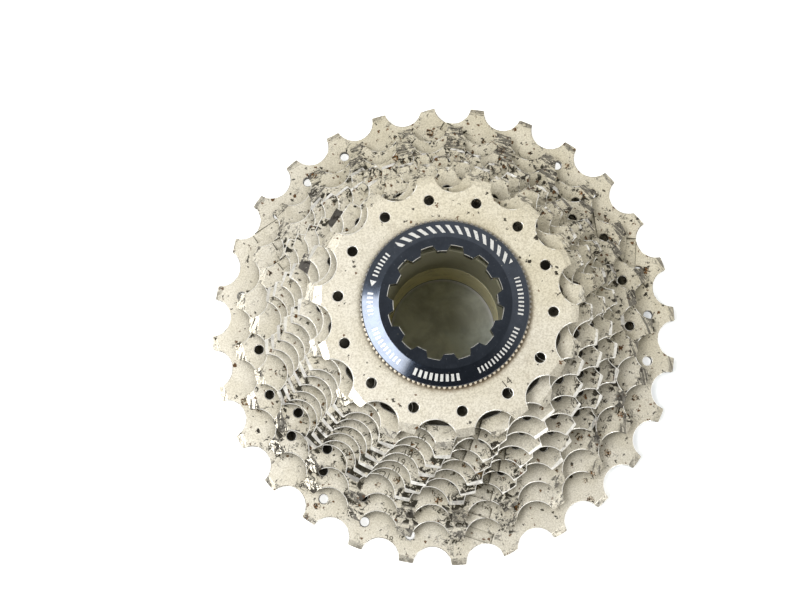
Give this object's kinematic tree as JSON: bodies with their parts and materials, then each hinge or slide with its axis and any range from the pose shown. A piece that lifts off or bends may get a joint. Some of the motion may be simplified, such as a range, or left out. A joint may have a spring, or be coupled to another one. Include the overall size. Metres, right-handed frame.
{
  "type": "cassette sprocket",
  "caption": "Stepped bicycle cassette: toothed steel sprockets and spacers on a splined plastic core, held by a dark screw-in lock ring.",
  "frame": {"origin": "on the stack axis, in the plane of the core's foot that the part rests on", "axes": "+Z along the stack axis, from the largest sprocket towards the lock ring; the narrow key spline lies at 212 degrees from +X"},
  "size_m": [0.114, 0.1139, 0.0437],
  "materials": {
    "sprocket_steel": "satin nickel plate, used",
    "rivet_steel": "satin",
    "washer_steel": "satin",
    "carrier_alloy": "dark anodised",
    "spacer_plastic": "matte",
    "core_plastic": "satin",
    "lock_ring_anodised": "gloss anodised"
  },
  "bodies": {
    "core": {"hub_core": "core_plastic"},
    "large_sprocket_unit": {"carrier": "carrier_alloy", "sprocket_28t": "sprocket_steel", "sprocket_25t": "sprocket_steel", "sprocket_23t": "sprocket_steel", "rivets": "rivet_steel", "rivet_collars": "rivet_steel"},
    "spacer_23_21_body": {"spacer_23_21": "spacer_plastic"},
    "sprocket_21t_body": {"sprocket_21t": "sprocket_steel"},
    "spacer_21_20_body": {"spacer_21_20": "spacer_plastic"},
    "sprocket_20t_body": {"sprocket_20t": "sprocket_steel"},
    "spacer_20_19_body": {"spacer_20_19": "spacer_plastic"},
    "sprocket_19t_body": {"sprocket_19t": "sprocket_steel"},
    "spacer_19_18_body": {"spacer_19_18": "spacer_plastic"},
    "sprocket_18t_body": {"sprocket_18t": "sprocket_steel"},
    "spacer_18_17_body": {"spacer_18_17": "spacer_plastic"},
    "sprocket_17t_body": {"sprocket_17t": "sprocket_steel"},
    "spacer_17_16_body": {"spacer_17_16": "spacer_plastic"},
    "sprocket_16t_body": {"sprocket_16t": "sprocket_steel"},
    "spacer_16_15_body": {"spacer_16_15": "spacer_plastic"},
    "sprocket_15t_body": {"sprocket_15t": "sprocket_steel"},
    "sprocket_14t_body": {"sprocket_14t": "sprocket_steel"},
    "washer": {"lock_ring_washer": "washer_steel"},
    "lock_ring_body": {"lock_ring": "lock_ring_anodised"}
  },
  "joints": [
    {"name": "unit_slide", "type": "slide", "parent": "core", "child": "large_sprocket_unit", "axis": [0, 0, 1], "range_m": [0, 0.045]},
    {"name": "spacer_23_21_slide", "type": "slide", "parent": "large_sprocket_unit", "child": "spacer_23_21_body", "axis": [0, 0, 1], "range_m": [0, 0.006]},
    {"name": "sprocket_21t_slide", "type": "slide", "parent": "spacer_23_21_body", "child": "sprocket_21t_body", "axis": [0, 0, 1], "range_m": [0, 0.006]},
    {"name": "spacer_21_20_slide", "type": "slide", "parent": "sprocket_21t_body", "child": "spacer_21_20_body", "axis": [0, 0, 1], "range_m": [0, 0.006]},
    {"name": "sprocket_20t_slide", "type": "slide", "parent": "spacer_21_20_body", "child": "sprocket_20t_body", "axis": [0, 0, 1], "range_m": [0, 0.006]},
    {"name": "spacer_20_19_slide", "type": "slide", "parent": "sprocket_20t_body", "child": "spacer_20_19_body", "axis": [0, 0, 1], "range_m": [0, 0.006]},
    {"name": "sprocket_19t_slide", "type": "slide", "parent": "spacer_20_19_body", "child": "sprocket_19t_body", "axis": [0, 0, 1], "range_m": [0, 0.006]},
    {"name": "spacer_19_18_slide", "type": "slide", "parent": "sprocket_19t_body", "child": "spacer_19_18_body", "axis": [0, 0, 1], "range_m": [0, 0.006]},
    {"name": "sprocket_18t_slide", "type": "slide", "parent": "spacer_19_18_body", "child": "sprocket_18t_body", "axis": [0, 0, 1], "range_m": [0, 0.006]},
    {"name": "spacer_18_17_slide", "type": "slide", "parent": "sprocket_18t_body", "child": "spacer_18_17_body", "axis": [0, 0, 1], "range_m": [0, 0.006]},
    {"name": "sprocket_17t_slide", "type": "slide", "parent": "spacer_18_17_body", "child": "sprocket_17t_body", "axis": [0, 0, 1], "range_m": [0, 0.006]},
    {"name": "spacer_17_16_slide", "type": "slide", "parent": "sprocket_17t_body", "child": "spacer_17_16_body", "axis": [0, 0, 1], "range_m": [0, 0.006]},
    {"name": "sprocket_16t_slide", "type": "slide", "parent": "spacer_17_16_body", "child": "sprocket_16t_body", "axis": [0, 0, 1], "range_m": [0, 0.006]},
    {"name": "spacer_16_15_slide", "type": "slide", "parent": "sprocket_16t_body", "child": "spacer_16_15_body", "axis": [0, 0, 1], "range_m": [0, 0.006]},
    {"name": "sprocket_15t_slide", "type": "slide", "parent": "spacer_16_15_body", "child": "sprocket_15t_body", "axis": [0, 0, 1], "range_m": [0, 0.006]},
    {"name": "sprocket_14t_slide", "type": "slide", "parent": "sprocket_15t_body", "child": "sprocket_14t_body", "axis": [0, 0, 1], "range_m": [0, 0.006]},
    {"name": "lock_ring_lift", "type": "slide", "parent": "sprocket_14t_body", "child": "washer", "axis": [0, 0, 1], "range_m": [0, 0.0045]},
    {"name": "lock_ring_turn", "type": "hinge", "parent": "washer", "child": "lock_ring_body", "pos_m": [0, 0, 0.0417], "axis": [0, 0, 1], "range_deg": [0, 1530]}
  ],
  "couplings": [
    {"joint": "sprocket_21t_slide", "follows": "spacer_23_21_slide", "ratio": 1},
    {"joint": "spacer_21_20_slide", "follows": "spacer_23_21_slide", "ratio": 1},
    {"joint": "sprocket_20t_slide", "follows": "spacer_23_21_slide", "ratio": 1},
    {"joint": "spacer_20_19_slide", "follows": "spacer_23_21_slide", "ratio": 1},
    {"joint": "sprocket_19t_slide", "follows": "spacer_23_21_slide", "ratio": 1},
    {"joint": "spacer_19_18_slide", "follows": "spacer_23_21_slide", "ratio": 1},
    {"joint": "sprocket_18t_slide", "follows": "spacer_23_21_slide", "ratio": 1},
    {"joint": "spacer_18_17_slide", "follows": "spacer_23_21_slide", "ratio": 1},
    {"joint": "sprocket_17t_slide", "follows": "spacer_23_21_slide", "ratio": 1},
    {"joint": "spacer_17_16_slide", "follows": "spacer_23_21_slide", "ratio": 1},
    {"joint": "sprocket_16t_slide", "follows": "spacer_23_21_slide", "ratio": 1},
    {"joint": "spacer_16_15_slide", "follows": "spacer_23_21_slide", "ratio": 1},
    {"joint": "sprocket_15t_slide", "follows": "spacer_23_21_slide", "ratio": 1},
    {"joint": "sprocket_14t_slide", "follows": "spacer_23_21_slide", "ratio": 1},
    {"joint": "lock_ring_lift", "follows": "lock_ring_turn", "m_per_rad": 0.00016839}
  ]
}
